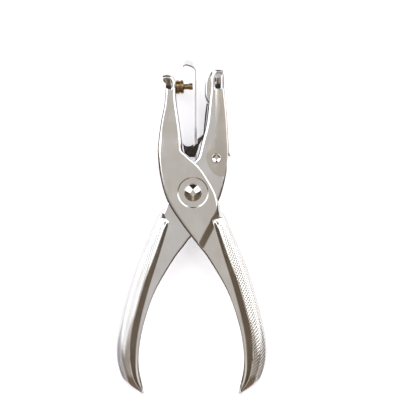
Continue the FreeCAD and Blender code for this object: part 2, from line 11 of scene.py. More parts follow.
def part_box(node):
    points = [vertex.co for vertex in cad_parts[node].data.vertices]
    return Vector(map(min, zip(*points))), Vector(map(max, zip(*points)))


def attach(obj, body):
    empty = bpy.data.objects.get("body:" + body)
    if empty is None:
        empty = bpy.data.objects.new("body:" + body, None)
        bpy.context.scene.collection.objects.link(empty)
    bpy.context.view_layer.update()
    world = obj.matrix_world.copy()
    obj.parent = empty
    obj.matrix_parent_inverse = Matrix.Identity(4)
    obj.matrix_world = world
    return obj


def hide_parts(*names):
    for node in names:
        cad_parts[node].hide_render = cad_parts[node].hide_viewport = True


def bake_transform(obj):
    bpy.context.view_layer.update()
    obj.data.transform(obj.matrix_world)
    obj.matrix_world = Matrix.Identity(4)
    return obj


bl_info = {
    "name": "Plier Punch",
    "version": (1, 0, 0),
    "blender": (4, 5, 0),
    "location": "View3D > Sidebar > Plier Punch",
    "description": "Builds the levers, punch, die, stripper, spring and chip cover of a plier punch",
    "category": "Object",
}

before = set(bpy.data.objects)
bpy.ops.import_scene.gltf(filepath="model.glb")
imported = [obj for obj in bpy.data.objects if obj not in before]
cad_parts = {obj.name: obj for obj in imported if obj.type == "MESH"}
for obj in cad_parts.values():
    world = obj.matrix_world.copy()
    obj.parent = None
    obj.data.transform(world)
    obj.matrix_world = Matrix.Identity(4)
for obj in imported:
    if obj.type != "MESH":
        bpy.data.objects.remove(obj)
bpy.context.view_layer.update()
MM = 0.001

# The height of the middle plane and the other heights come from the frame's own nodes.
LEVER_LOW, LEVER_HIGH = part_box("punch_lever")
MID = (LEVER_LOW.z + LEVER_HIGH.z) / 2 / MM
GRIP_HALF = (LEVER_HIGH.z - LEVER_LOW.z) / 2 / MM
COVER_RIVET_LOW, COVER_RIVET_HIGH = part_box("cover_rivet")
COVER_PIN = (COVER_RIVET_LOW + COVER_RIVET_HIGH) / 2 / MM

# Where the punch's axis, which lies along X, crosses the middle plane, and the radii of the holes round it.
PUNCH_AT = Vector((0, 48.15, 0))
STRIPPER_HOLE = 2.035
DIE_HOLE = 2.085

# Mesh points closer than this are merged, in millimetres.
WELD = 0.0005

# The stretches of a lever, from nose to tip, and the outline points between which they lie.
NOSE, JAW, PLATES, SHOULDER, GRIP = range(5)
MARKS = [0, 4, 8, 12, 13, 20]
# The distance between mesh rows in each stretch, in millimetres.
SPACING = [0.5, 1.0, 1.0, 0.8, 0.41]
# Mesh columns across half the folded back, and across one cheek.
NEAR, WIDE = 40, 15
# The share of the back's width that the fold takes up where the shoulder becomes the grip.
FOLD_SHARE = 0.79


def linear(hex_colour):
    """An sRGB hex value such as C8C2B8 as linear RGB."""
    out = []
    for k in (0, 2, 4):
        c = int(hex_colour[k:k + 2], 16) / 255
        out.append(c / 12.92 if c <= 0.04045 else ((c + 0.055) / 1.055) ** 2.4)
    return out


class PUNCH_PG_sizes(bpy.types.PropertyGroup):
    """Sheet and knurl sizes of the punch, in millimetres."""

    gauge: FloatProperty(
        name="Sheet gauge", description="Thickness of the lever sheet, mm", default=1.2, min=0.6, max=2.0)
    cheek: FloatProperty(
        name="Cheek", description="Half width over the cheeks, mm", default=5.7, min=4.0, max=7.0)
    plate: FloatProperty(
        name="Plate", description="Half width over the joggled plates, mm", default=7.0, min=5.0, max=7.2)
    fold: FloatProperty(
        name="Fold", description="Outside radius of a fold, mm", default=1.6, min=0.8, max=3.0)
    grip_round: FloatProperty(
        name="Grip round", description="Outside radius along a grip's back, mm", default=6.8, min=3.0,
        max=7.0)
    recess: FloatProperty(
        name="Nose recess", description="Depth pressed in below a nose cap, mm", default=3.4, min=0.0,
        max=4.0)
    taper: FloatProperty(
        name="Tip taper", description="How much lower the grip's tip is than its middle, mm", default=3.6,
        min=0.0, max=4.0)
    dish: FloatProperty(
        name="Dish", description="Depth pressed in round the pivot rivet, mm", default=0.3, min=0.0,
        max=0.6)
    knurl_deep: FloatProperty(
        name="Knurl depth", description="Height of a knurl point, mm", default=0.13, min=0.0, max=0.4)
    edge: FloatProperty(
        name="Edge", description="Width of a broken edge, mm", default=0.46, min=0.02, max=0.6)


class PUNCH_PG_finish(bpy.types.PropertyGroup):
    """Colours of the finishes."""

    plating: FloatVectorProperty(
        name="Nickel", description="Nickel plating", subtype="COLOR", size=3, default=linear("DEDDDB"),
        min=0, max=1)
    tool_steel: FloatVectorProperty(
        name="Tool steel", description="Hardened steel, straw tempered", subtype="COLOR", size=3,
        default=linear("A58D6C"), min=0, max=1)
    spring: FloatVectorProperty(
        name="Spring", description="Blackened spring steel", subtype="COLOR", size=3,
        default=linear("4A4340"), min=0, max=1)
    floor: FloatVectorProperty(
        name="Floor", description="Table surface", subtype="COLOR", size=3, default=linear("F6F6F6"), min=0,
        max=1)


# ---------------------------------------------------------------- curves

def rail(points, t):
    """A smooth curve through the points, t counting from one point to the next."""
    last = len(points) - 1
    k = min(max(int(math.floor(t)), 0), last - 1)
    f = t - k
    p1, p2 = Vector(points[k]), Vector(points[k + 1])
    p0 = Vector(points[k - 1]) if k > 0 else p1 * 2 - p2
    p3 = Vector(points[k + 2]) if k + 2 <= last else p2 * 2 - p1
    m1, m2 = (p2 - p0) / 2, (p3 - p1) / 2
    f2, f3 = f * f, f * f * f
    return p1 * (2 * f3 - 3 * f2 + 1) + m1 * (f3 - 2 * f2 + f) + p2 * (3 * f2 - 2 * f3) + m2 * (f3 - f2)


def ease(v):
    """From 0 to 1 with level ends."""
    v = min(max(v, 0.0), 1.0)
    return v * v * (3 - 2 * v)


def ramp(v, soft=0.25):
    """A straight slope from 0 to 1 whose two ends are a little rounded."""
    v = min(max(v, 0.0), 1.0)
    return v * (1 - soft) + ease(v) * soft


# ---------------------------------------------------------------- meshes

def finish_piece(bm, name, body, nodes, material, recalc=True, smooth=True):
    """Millimetres round the pivot become metres in the frame, and the piece takes its place."""
    to_frame = Matrix.Translation((0, 0, MID * MM)) @ Matrix.Scale(MM, 4)
    bmesh.ops.transform(bm, matrix=to_frame, verts=bm.verts)
    if recalc:
        bmesh.ops.recalc_face_normals(bm, faces=bm.faces)
    if smooth:
        for face in bm.faces:
            face.smooth = True
    mesh = bpy.data.meshes.new(name)
    bm.to_mesh(mesh)
    bm.free()
    piece = bpy.data.objects.new(name, mesh)
    bpy.context.collection.objects.link(piece)
    mesh.materials.append(material)
    if body:
        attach(piece, body)
    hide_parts(*nodes)
    return piece


def thicken(piece, gauge, edge, rim):
    """The sheet's gauge, inwards from its outer face, with rim on the cut edges, then broken edges, also in
    rim. Rim is a dark brown painted shade for the dark edge lines, partly a duller real cut edge.
    """
    wall = piece.modifiers.new("gauge", "SOLIDIFY")
    wall.thickness = gauge * MM
    wall.offset = -1
    wall.use_even_offset = False
    wall.material_offset_rim = 1
    piece.data.materials.append(rim)
    soften(piece, edge)
    piece.modifiers["edges"].material = 1


def soften(piece, edge, angle=68, segments=3):
    """Broken edges wherever two faces meet at more than the angle, in degrees."""
    broken = piece.modifiers.new("edges", "BEVEL")
    broken.width = edge * MM
    broken.segments = segments
    broken.limit_method = "ANGLE"
    broken.angle_limit = math.radians(angle)


def lathe(profile, steps=96, turn=None):
    """Spin half a section, given as (radius, height) points, once round the Z axis."""
    bm = bmesh.new()
    verts = [bm.verts.new((r, 0, z)) for r, z in profile]
    edges = [bm.edges.new(pair) for pair in zip(verts, verts[1:])]
    bmesh.ops.spin(
        bm, geom=verts + edges, cent=(0, 0, 0), axis=(0, 0, 1), dvec=(0, 0, 0), angle=math.tau, steps=steps,
        use_merge=True, use_duplicate=False)
    bmesh.ops.remove_doubles(bm, verts=bm.verts, dist=WELD)
    if turn is not None:
        bmesh.ops.transform(bm, matrix=turn, verts=bm.verts)
    return bm


def rounded_profile(corners, radius, count=4):
    """The corners of a section with each inner corner rounded."""
    out = [corners[0]]
    for before, here, after in zip(corners, corners[1:], corners[2:]):
        a = Vector(before) - Vector(here)
        b = Vector(after) - Vector(here)
        reach = min(radius, a.length * 0.45, b.length * 0.45)
        start = Vector(here) + a.normalized() * reach
        end = Vector(here) + b.normalized() * reach
        for k in range(count + 1):
            f = k / count
            out.append(tuple(start.lerp(Vector(here), f).lerp(Vector(here).lerp(end, f), f)))
    out.append(corners[-1])
    return out


def copied(node):
    """A CAD node's shape, welded, in millimetres round the pivot, to be given broken edges."""
    bm = bmesh.new()
    bm.from_mesh(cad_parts[node].data)
    to_mm = Matrix.Scale(1 / MM, 4) @ Matrix.Translation((0, 0, -MID * MM))
    bmesh.ops.transform(bm, matrix=to_mm, verts=bm.verts)
    bmesh.ops.remove_doubles(bm, verts=bm.verts, dist=0.002)
    bmesh.ops.dissolve_limit(bm, angle_limit=math.radians(2), verts=bm.verts, edges=bm.edges)
    return bm


def track(points, marks, fine=16):
    """A smooth curve asked for by stretch, and by fraction of that stretch's own length."""
    stretches = []
    for a, b in zip(marks, marks[1:]):
        dense = [rail(points, a + k / fine) for k in range((b - a) * fine + 1)]
        far = [0.0]
        for p, q in zip(dense, dense[1:]):
            far.append(far[-1] + (q - p).length)
        stretches.append((dense, far))

    def at(stretch, fraction):
        dense, far = stretches[stretch]
        want = min(max(fraction, 0.0), 1.0) * far[-1]
        k = 0
        while k < len(far) - 2 and far[k + 1] < want:
            k += 1
        span = far[k + 1] - far[k]
        return dense[k].lerp(dense[k + 1], (want - far[k]) / span if span else 0.0)

    return at


def half_section(width, height, low, fold_x, fold_z, knurl):
    """Places across half a folded back, from its middle to the foot of its shoulder.

    The back stands up flat, turns through most of a quarter ellipse of fold_x by fold_z, and falls from a
    soft ridge to low at the foot. Where low equals height, it turns a full quarter and stays level.
    Each place is (distance from the back, height), raised along its outward normal by its own knurl.
    """
    count, turn_steps, fall_steps = len(knurl) - 1, 24, 16
    lean = math.radians(75 if low < height else 90)
    reach, rise = fold_x / (1 - math.cos(lean)), fold_z / math.sin(lean)
    line = [(0.0, 0.0)]
    for k in range(turn_steps + 1):
        a = lean * k / turn_steps
        line.append((reach * (1 - math.cos(a)), height - fold_z + rise * math.sin(a)))
    for k in range(1, fall_steps + 1):
        f = k / fall_steps
        fall = (2 * f ** 3 - 3 * f ** 2 + 1) - 0.85 * (f ** 3 - 2 * f ** 2 + f)
        line.append((fold_x + (width - fold_x) * f, low + (height - low) * fall))
    line = [Vector(p) for p in line]
    far = [0.0]
    for p, q in zip(line, line[1:]):
        far.append(far[-1] + (q - p).length)
    out, k = [], 0
    for j in range(count + 1):
        want = far[-1] * j / count
        while k < len(far) - 2 and far[k + 1] < want:
            k += 1
        span = max(far[k + 1] - far[k], 1e-9)
        place = line[k].lerp(line[k + 1], (want - far[k]) / span)
        along = (line[k + 1] - line[k]).normalized()
        out.append(place + Vector((-along.y, along.x)) * knurl[j])
    return out


def tooth(i, j, count=4):
    """Height of a diamond knurl at one crossing of the mesh, from 0 in a groove to 1 on a point."""
    a = ((i + j) % count) / count
    b = ((i - j) % count) / count
    return min(1 - abs(2 * a - 1), 1 - abs(2 * b - 1))


def pierce(bm, radius):
    """A round hole on the punch's axis: the faces inside it go, and its rim is drawn to the circle."""
    inside = [f for f in bm.faces if (f.calc_center_median() - PUNCH_AT).yz.length < radius]
    rim = {v for f in inside for v in f.verts}
    bmesh.ops.delete(bm, geom=inside, context="FACES")
    for v in (v for v in rim if v.is_valid):
        out = (v.co - PUNCH_AT).yz.normalized() * radius
        v.co = (v.co.x, PUNCH_AT.y + out.x, out.y)


def roll(drop, u):
    """How far a rolled edge has dropped, u counting from 0 at the edge to 1 where it is flat."""
    u = 1 - min(max(u, 0.0), 1.0)
    return drop * (1 - math.sqrt(1 - u * u * 0.98))


def rolled(stretch, p, inward):
    """How far the jaw has rolled over at p, inward of its open edge: less towards the plates."""
    deep, wide = 0.8, 1.15
    if stretch not in (JAW, PLATES) or p.x > 0:
        return 0.0
    return roll(deep, inward / wide) * ease((p.y - 2) / 20)


def lever_stations(back):
    """The mesh rows of a lever, each as its stretch and how far along that stretch it lies."""
    stations, chords = [], 12
    for stretch, gap in enumerate(SPACING):
        stops = [back(stretch, k / chords) for k in range(chords + 1)]
        length = sum((q - p).length for p, q in zip(stops, stops[1:]))
        count = max(1, round(length / gap))
        stations += [(stretch, k / count) for k in range(count)]
    return stations + [(GRIP, 1.0)]


def lever_section(sizes, i, stretch, f, width):
    """Half a section of the folded back at row i, and how many of its columns the open back takes up."""
    plain = [0] * (NEAR + 1)
    if stretch == GRIP:
        rise = ease(f / 0.055)
        coarser = 1 + 0.35 * ease((f - 0.5) / 0.2)
        deep = sizes.knurl_deep * coarser * ease((f - 0.02) / 0.03) * ease((0.9 - f) / 0.06)
        knurl = [deep * tooth(i, j) * ease((NEAR * 0.78 - j) / 3) for j in range(NEAR + 1)]
        top = sizes.cheek + (GRIP_HALF - sizes.cheek) * rise * (1 - 0.8 * ease((f - 0.86) / 0.14))
        fold_x = width * (FOLD_SHARE - 0.14 * ease((f - 0.12) / 0.3) + 0.1 * ease((f - 0.7) / 0.2))
        return half_section(width, top, sizes.cheek, fold_x, min(sizes.grip_round, top - 0.3), knurl), 0
    if stretch in (PLATES, SHOULDER):
        neck = 1.0 if stretch == SHOULDER else ease((f - 0.72) / 0.28)
        grown = ease(f) if stretch == SHOULDER else 0.0
        fold_x, fold_z = 1.0 + neck, 0.5 + 2.4 * neck
        fold_x += (width * FOLD_SHARE - fold_x) * grown
        fold_z += (sizes.cheek - 0.3 - fold_z) * grown
        section = half_section(width, sizes.cheek, sizes.cheek, fold_x, fold_z, plain)
        opening = max(k for k in range(NEAR) if section[k].x < 0.001)
        section[:opening] = [section[opening]] * opening
        return section, opening
    nose = 1 - ease(f * 1.1) if stretch == NOSE else 0.0
    fold_x = min(sizes.fold + (width * 0.99 - sizes.fold) * nose, width * 0.99)
    return half_section(width, sizes.cheek, sizes.cheek, fold_x, sizes.fold + 3.2 * nose, plain), 0


def press_dish(bm, dish):
    """The plates pressed in round the pivot, with a finer mesh where they slope."""
    for inner, outer, longest in ((5.2, 8.6, 0.5), (5.7, 7.9, 0.35), (6.1, 7.4, 0.22)):
        long_edges = [e for e in bm.edges if e.calc_length() > longest]
        ring = [e for e in long_edges if all(inner < v.co.xy.length < outer for v in e.verts)]
        bmesh.ops.subdivide_edges(bm, edges=ring, cuts=1, use_grid_fill=True)
    for v in bm.verts:
        r = v.co.xy.length
        if r < 9.5:
            sunk = dish * (1 - ease((r - 6.45) / 0.6))
            v.co.z -= math.copysign(sunk, v.co.z)


def sheet_lever(sizes, lines, height_at, slot_y=0, dish=0, bore=0):
    """A lever folded from one sheet, as the outer face of that sheet.

    lines are the plan lines of the folded back, of the shoulder's foot and of the cheeks' open edges.
    The jaw's back is slotted up to slot_y, dish is the depth pressed in round the pivot, and bore is
    the radius of the hole on the punch's axis. Any of these may be 0.
    """
    back, step, lip = (track([Vector(p) for p in line], MARKS) for line in lines)
    stations = lever_stations(back)
    rows, half = len(stations), NEAR + WIDE
    bm = bmesh.new()
    bmesh.ops.create_grid(bm, x_segments=rows - 1, y_segments=2 * half, size=1)
    place = {}
    for v in bm.verts:
        place[v] = (round((v.co.x + 1) / 2 * (rows - 1)), round((v.co.y + 1) * half) - half)
    mouth = step(JAW, 0).y
    sections, open_to = [], []
    for i, (stretch, f) in enumerate(stations):
        w, b, lp = back(stretch, f), step(stretch, f), lip(stretch, f)
        section, opening = lever_section(sizes, i, stretch, f, (b - w).length)
        fall = sizes.taper * max(0.0, (f - 0.55) / 0.45) ** 1.25 if stretch == GRIP else 0.0
        sections.append((stretch, f, w, b, lp, (b - w).normalized(), section, fall))
        open_to.append(opening)
    for v, (i, j) in place.items():
        stretch, f, w, b, lp, unit, section, fall = sections[i]
        side, k = (1 if j >= 0 else -1), abs(j)
        if k > NEAR:
            p = b.lerp(lp, (k - NEAR) / WIDE)
            cheek = (b - lp).length
            # The last column slopes off as the sheared edge, never wider than one and a half columns.
            share = min(sizes.edge / max(cheek, 0.01), 1.5 / WIDE) if stretch != NOSE else 0.0
            if k == half - 1 and stretch != NOSE:
                p = lp.lerp(b, share)
            z = height_at(p.x, p.y) - rolled(stretch, p, (lp - p).length)
            if k == half:
                z -= share * cheek * 0.8
            if stretch == NOSE:
                z -= sizes.recess * ramp((p.y - mouth + 0.3) / 5.8, 0.2)
        else:
            p = w + unit * section[k].x
            z = section[k].y
            if stretch != GRIP:
                share = 1.0 if stretch in (PLATES, SHOULDER) else ease((k / NEAR - 0.55) / 0.25)
                z += (height_at(p.x, p.y) - sizes.cheek) * share
        closing = max(0.0, (f - 0.97) / 0.03) if stretch == GRIP else 0.0
        v.co = (p.x, p.y, side * z * (1 - fall / GRIP_HALF) * math.sqrt(max(0.0, 1 - closing ** 2)))

    first_jaw = stations.index((JAW, 0.0))
    first_plate = stations.index((PLATES, 0.0))
    first_grip = stations.index((GRIP, 0.0))
    knurled = (first_grip + 0.035 * (rows - first_grip), first_grip + 0.9 * (rows - first_grip))
    gone = []
    for face in bm.faces:
        ij = [place[v] for v in face.verts]
        i0, i1 = min(i for i, j in ij), max(i for i, j in ij)
        k1 = max(abs(j) for i, j in ij)
        in_plates = i1 >= first_plate and i0 < first_grip
        if in_plates:
            in_plates = k1 <= min(n for n in (open_to[i0], open_to[i1]) if n)
        in_jaw = first_jaw < i0 < first_plate and k1 <= NEAR / 2
        in_slot = slot_y and in_jaw and face.calc_center_median().y < slot_y
        if in_plates or in_slot:
            gone.append(face)
        # Material 1 on the last column is the dark brown edge finish: painted shade, partly a duller real
        # cut edge.
        face.material_index = 1 if k1 == half and stations[i0][0] != NOSE else 0
        face.smooth = not (knurled[0] < i0 and i1 < knurled[1] and k1 < NEAR * 0.8)
    bmesh.ops.delete(bm, geom=gone, context="FACES")
    bmesh.ops.remove_doubles(bm, verts=bm.verts, dist=WELD)
    if bore:
        pierce(bm, bore)
    bmesh.ops.recalc_face_normals(bm, faces=bm.faces)
    if sum(f.normal.z * f.calc_center_median().z for f in bm.faces) < 0:
        bmesh.ops.reverse_faces(bm, faces=bm.faces)

    bm.normal_update()
    if dish:
        press_dish(bm, dish)
    return bm


# ---------------------------------------------------------------- materials

def add(tree, kind, settings=(), wires=()):
    """One node with its settings, and its inputs wired."""
    node = tree.nodes.new(kind)
    for name, value in dict(settings).items():
        if isinstance(name, str) and hasattr(node, name):
            setattr(node, name, value)
        else:
            node.inputs[name].default_value = value
    for name, source in dict(wires).items():
        tree.links.new(source, node.inputs[name])
    return node


def new_material(name):
    """A material with an empty node tree, and that tree."""
    material = bpy.data.materials.new(name)
    material.use_nodes = True
    material.node_tree.nodes.clear()
    return material, material.node_tree


def plated(name, colour, rough, brush, wave, lean=0.0):
    """Bright nickel plate over cold-rolled sheet: the belt-polish lines and roll waviness show through."""
    material, tree = new_material(name)
    where = add(tree, "ShaderNodeTexCoord").outputs["Object"]
    # Polishing lines run the length of a lever, about 0.2 mm apart.
    turned = add(
        tree, "ShaderNodeMapping", {"Rotation": (0, 0, lean), "Scale": (1, 0.035, 1)}, {"Vector": where})
    lines = add(
        tree, "ShaderNodeTexNoise", {"Scale": 5200, "Detail": 3, "Roughness": 0.6},
        {"Vector": turned.outputs[0]})
    broad = add(
        tree, "ShaderNodeMapping", {"Rotation": (0, 0, lean), "Scale": (1, 0.12, 1)}, {"Vector": where})
    bands = add(tree, "ShaderNodeTexNoise", {"Scale": 420, "Detail": 2}, {"Vector": broad.outputs[0]})
    cloud = add(
        tree, "ShaderNodeTexNoise", {"Scale": 110, "Detail": 3, "Roughness": 0.5}, {"Vector": where})
    mixed = add(
        tree, "ShaderNodeMath", {"operation": "MULTIPLY_ADD", 1: 0.35},
        {0: bands.outputs["Fac"], 2: cloud.outputs["Fac"]})
    rough_node = add(
        tree, "ShaderNodeMapRange",
        {"From Min": 0.35, "From Max": 1.0, "To Min": rough * 0.75, "To Max": rough * 1.35},
        {"Value": mixed.outputs[0]})
    tint = add(tree, "ShaderNodeValToRGB", (), {"Fac": mixed.outputs[0]})
    tint.color_ramp.elements[0].position = 0.35
    tint.color_ramp.elements[0].color = (colour[0] * 0.90, colour[1] * 0.885, colour[2] * 0.86, 1)
    tint.color_ramp.elements[1].position = 0.85
    tint.color_ramp.elements[1].color = (colour[0], colour[1], colour[2], 1)
    fine = add(
        tree, "ShaderNodeBump", {"Strength": brush, "Distance": 0.00002}, {"Height": lines.outputs["Fac"]})
    sheet = add(
        tree, "ShaderNodeBump", {"Strength": wave, "Distance": 0.0004},
        {"Height": cloud.outputs["Fac"], "Normal": fine.outputs[0]})
    shader = add(
        tree, "ShaderNodeBsdfPrincipled", {"Metallic": 1.0, "Specular Tint": (0.72, 0.72, 0.76, 1)},
        {"Base Color": tint.outputs[0], "Roughness": rough_node.outputs[0], "Normal": sheet.outputs[0]})
    add(tree, "ShaderNodeOutputMaterial", (), {"Surface": shader.outputs[0]})
    return material


def tempered(name, colour, dark, rough, grain):
    """Turned, hardened and tempered steel: fine turning rings and a patchy oxide tint."""
    material, tree = new_material(name)
    where = add(tree, "ShaderNodeTexCoord").outputs["Object"]
    patch = add(
        tree, "ShaderNodeTexNoise", {"Scale": 900, "Detail": 4, "Roughness": 0.6}, {"Vector": where})
    rings = add(
        tree, "ShaderNodeTexWave", {"bands_direction": "X", "Scale": 1400, "Distortion": 1.2, "Detail": 2},
        {"Vector": where})
    tint = add(tree, "ShaderNodeValToRGB", (), {"Fac": patch.outputs["Fac"]})
    tint.color_ramp.elements[0].position = 0.32
    tint.color_ramp.elements[0].color = (*dark, 1)
    tint.color_ramp.elements[1].position = 0.62
    tint.color_ramp.elements[1].color = (*colour, 1)
    rough_node = add(
        tree, "ShaderNodeMapRange", {"To Min": rough * 0.7, "To Max": rough * 1.4},
        {"Value": patch.outputs["Fac"]})
    bump = add(
        tree, "ShaderNodeBump", {"Strength": grain, "Distance": 0.00003}, {"Height": rings.outputs["Fac"]})
    shader = add(
        tree, "ShaderNodeBsdfPrincipled", {"Metallic": 1.0},
        {"Base Color": tint.outputs[0], "Roughness": rough_node.outputs[0], "Normal": bump.outputs[0]})
    add(tree, "ShaderNodeOutputMaterial", (), {"Surface": shader.outputs[0]})
    return material


def table_top(colour):
    """A backlit sheet of opal acrylic: lit evenly from below, with the faint mottle of a wiped surface."""
    material, tree = new_material("opal_acrylic")
    where = add(tree, "ShaderNodeTexCoord").outputs["Object"]
    mottle = add(tree, "ShaderNodeTexNoise", {"Scale": 9, "Detail": 3}, {"Vector": where})
    tint = add(tree, "ShaderNodeValToRGB", (), {"Fac": mottle.outputs["Fac"]})
    tint.color_ramp.elements[0].color = (colour[0] * 0.985, colour[1] * 0.985, colour[2] * 0.985, 1)
    tint.color_ramp.elements[1].color = (*colour, 1)
    shader = add(
        tree, "ShaderNodeBsdfPrincipled",
        {"Roughness": 0.75, "Emission Color": (0.93, 0.93, 1.0, 1), "Emission Strength": 0.56},
        {"Base Color": tint.outputs[0]})
    add(tree, "ShaderNodeOutputMaterial", (), {"Surface": shader.outputs[0]})
    return material


def dress(node, material):
    """A CAD node keeps its shape and takes a finish."""
    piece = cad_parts[node]
    if not piece.material_slots:
        piece.data.materials.append(material)
    for holder in piece.material_slots:
        holder.material = material


# ---------------------------------------------------------------- plan lines, millimetres from the pivot

GRIP_BACK = [
    (14.6, -10.4), (15.75, -13.1), (24.98, -34.9), (31.4, -57.4), (33.5, -70.0), (32.4, -79.9),
    (28.4, -87.6), (20.5, -92.5)]
GRIP_STEP = [
    (8.8, -12.2), (10.2, -17.0), (14.0, -30.0), (18.6, -46.1), (21.9, -59.0), (23.7, -71.0), (24.0, -82.0),
    (20.9, -91.6)]
HANDLE_IN = [
    (1.0, -21.9), (2.8, -24.3), (7.4, -30.4), (15.3, -43.9), (20.25, -57.4), (22.8, -69.0), (23.4, -79.9),
    (21.2, -90.7)]

PUNCH_BACK = [
    (-13.95, 54.0), (-11.4, 54.2), (-9.3, 53.2), (-7.75, 50.4), (-7.65, 46.7), (-7.3, 40.6), (-6.0, 31.4),
    (-4.95, 23.6), (-4.05, 17.8)]
PUNCH_BACK += [(3.15, 11.0), (8.55, 2.5), (11.7, -4.7), (12.9, -8.6)] + GRIP_BACK
PUNCH_STEP = [
    (-13.6, 51.4), (-11.6, 51.5), (-10.1, 51.0), (-9.4, 49.9), (-9.4, 46.7), (-9.5, 40.5), (-8.3, 31.4),
    (-7.5, 23.6), (-6.6, 17.2)]
PUNCH_STEP += [(0.6, 8.6), (5.4, 1.0), (8.2, -5.6), (8.6, -10.2)] + GRIP_STEP
PUNCH_LIP = [
    (-13.4, 51.1), (-12.8, 50.7), (-12.4, 50.2), (-12.3, 48.8), (-12.3, 46.7), (-12.9, 39.5), (-14.5, 31.5),
    (-15.5, 23.6), (-15.8, 17.8)]
PUNCH_LIP += [(-14.85, 7.9), (-11.7, -3.4), (-5.85, -12.9), (0.0, -20.7)] + HANDLE_IN

DIE_BACK = [
    (13.6, 56.0), (11.0, 56.5), (8.9, 55.6), (7.6, 52.4), (7.6, 46.7), (6.9, 39.4), (5.85, 30.4),
    (4.0, 23.2), (1.5, 14.6)]
DIE_STEP = [
    (13.6, 54.2), (11.4, 54.3), (10.4, 53.6), (9.8, 51.4), (9.7, 46.7), (9.2, 39.4), (8.2, 30.4),
    (6.6, 23.0), (4.1, 14.2)]
DIE_LIP = [
    (13.5, 53.9), (12.9, 53.4), (12.8, 52.4), (12.7, 50.0), (12.6, 46.7), (13.3, 37.0), (14.0, 27.0),
    (14.6, 20.0), (15.1, 14.6)]
DIE_BACK += [(-3.15, 11.0), (-8.55, 2.5), (-11.7, -3.9), (-14.4, -8.6)]
DIE_STEP += [(-1.0, 8.8), (-5.9, 1.2), (-9.2, -5.4), (-10.1, -10.2)]
DIE_LIP += [(14.85, 7.9), (11.7, -3.4), (5.85, -12.9), (-1.6, -20.8)]


def across(points, shift=1.5):
    """The die lever's grip is the punch lever's, turned over and moved by the handles' offset."""
    return [(-x - shift, y) for x, y in points]


STRIP_LINE = [
    (4.05, 1.5), (3.3, 6.8), (1.75, 11.6), (1.22, 16.0), (1.22, 26.0), (1.22, 36.0), (1.22, 45.15),
    (1.22, 48.15), (1.22, 51.15), (1.22, 54.4), (0.75, 56.7), (-0.9, 58.6), (-2.9, 59.1), (-4.3, 58.3)]


def strip_body():
    """The stripper's leaf: narrow between the cheeks, pierced for the punch, its nose turned over."""
    line, columns = [Vector(p) for p in STRIP_LINE], 10
    # Mesh rows along the line: up to the punch's hole, past it, and over the nose.
    stops = [6 * k / 40 for k in range(40)]
    stops += [6 + 2 * k / 16 for k in range(16)]
    stops += [8 + 5 * k / 28 for k in range(29)]
    bm = bmesh.new()
    bmesh.ops.create_grid(bm, x_segments=len(stops) - 1, y_segments=2 * columns, size=1)
    for v in bm.verts:
        i = round((v.co.x + 1) / 2 * (len(stops) - 1))
        j = round((v.co.y + 1) * columns) - columns
        p = rail(line, stops[i])
        over = ease((stops[i] - 9.0) / 2.5)
        half = 2.3 + 1.7 * ease((p.y - 24) / 4) - 0.9 * ease((stops[i] - 10) / 3)
        z = j / columns * half
        v.co = (p.x - 0.10 * z * over, p.y - 0.42 * z * over, z)
    pierce(bm, STRIPPER_HOLE)
    return bm


def punch_height(x, y):
    """The punch lever's cheeks step out over the die lever's between two slopes."""
    sizes = bpy.context.scene.punch_sizes
    # The upper slope begins 28.5 mm from the pivot and is 13 mm long. The lower one lies askew, 3.5 mm long.
    upper = ease((28.5 - y) / 13.0)
    lower = ramp(((13.2 - x) * 0.884 + (y + 9.5) * 0.468) / 3.5)
    return sizes.cheek + (sizes.plate - sizes.cheek) * upper * lower


def die_height(x, y):
    """The die lever's cheeks keep one height."""
    return bpy.context.scene.punch_sizes.cheek


# ---------------------------------------------------------------- operators

class PUNCH_OT_levers(bpy.types.Operator):
    """Fold both levers from sheet, with their joggled plates, nose caps and knurled grips"""
    bl_idname = "punch.levers"
    bl_label = "Levers"

    def execute(self, context):
        sizes, finish = context.scene.punch_sizes, context.scene.punch_finish
        cool = [c * k for c, k in zip(finish.plating, (1.05, 1.07, 1.12))]
        first = plated("nickel_plated_sheet", finish.plating, 0.17, 0.20, 0.045)
        second = plated("nickel_plated_sheet_cool", cool, 0.16, 0.20, 0.045, lean=0.2)
        # The dark brown cut and broken edges are painted shade standing in for dark edge lines, partly a
        # duller real cut edge.
        rim = plated("dark_edge_painted_shade", linear("5E5145"), 0.45, 0.5, 0.1)
        bm = sheet_lever(sizes, (PUNCH_BACK, PUNCH_STEP, PUNCH_LIP), punch_height, dish=sizes.dish)
        piece = finish_piece(
            bm, "punch_lever_sheet", "punch_side", ["punch_lever"], first, recalc=False,
            smooth=False)
        thicken(piece, sizes.gauge, sizes.edge, rim)
        lines = (DIE_BACK + across(GRIP_BACK), DIE_STEP + across(GRIP_STEP), DIE_LIP + across(HANDLE_IN))
        bm = sheet_lever(sizes, lines, die_height, slot_y=22.3, bore=DIE_HOLE)
        piece = finish_piece(
            bm, "die_lever_sheet", "die_side", ["die_lever"], second, recalc=False,
            smooth=False)
        thicken(piece, sizes.gauge, sizes.edge, rim)
        return {"FINISHED"}


